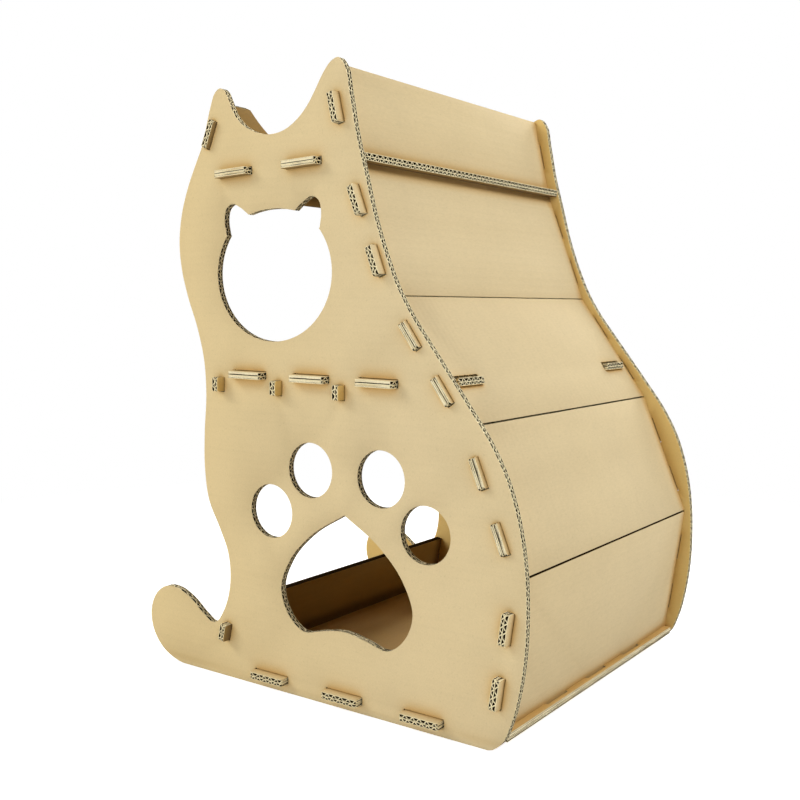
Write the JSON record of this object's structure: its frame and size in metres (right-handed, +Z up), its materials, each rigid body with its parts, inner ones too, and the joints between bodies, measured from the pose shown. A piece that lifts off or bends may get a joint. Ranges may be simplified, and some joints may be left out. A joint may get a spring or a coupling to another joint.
{
  "type": "cat condo",
  "caption": "Knock-down cat house of slotted double-wall corrugated board: cat-shaped end panels carry a floor, a shelf, a roof and a bent back wall, with a window and a paw-shaped cut-out.",
  "frame": {"origin": "on the ground, in the middle below the whole house", "axes": "+Z up; +X to the right seen from the front, towards the bent back wall; +Y from the front panel to the back panel"},
  "size_m": [0.4391, 0.398, 0.58],
  "materials": {
    "kraft_board": "matte"
  },
  "bodies": {
    "root": {"front_panel": "kraft_board", "back_panel": "kraft_board", "floor_panel": "kraft_board", "middle_shelf": "kraft_board", "roof_shelf": "kraft_board", "right_ear_board": "kraft_board", "left_ear_board": "kraft_board", "upper_wall_board": "kraft_board", "waist_wall_board": "kraft_board", "hip_wall_board": "kraft_board", "lower_wall_board": "kraft_board", "left_sill_board": "kraft_board", "shelf_joist_left": "kraft_board", "shelf_joist_middle": "kraft_board", "shelf_joist_right": "kraft_board"}
  },
  "joints": []
}
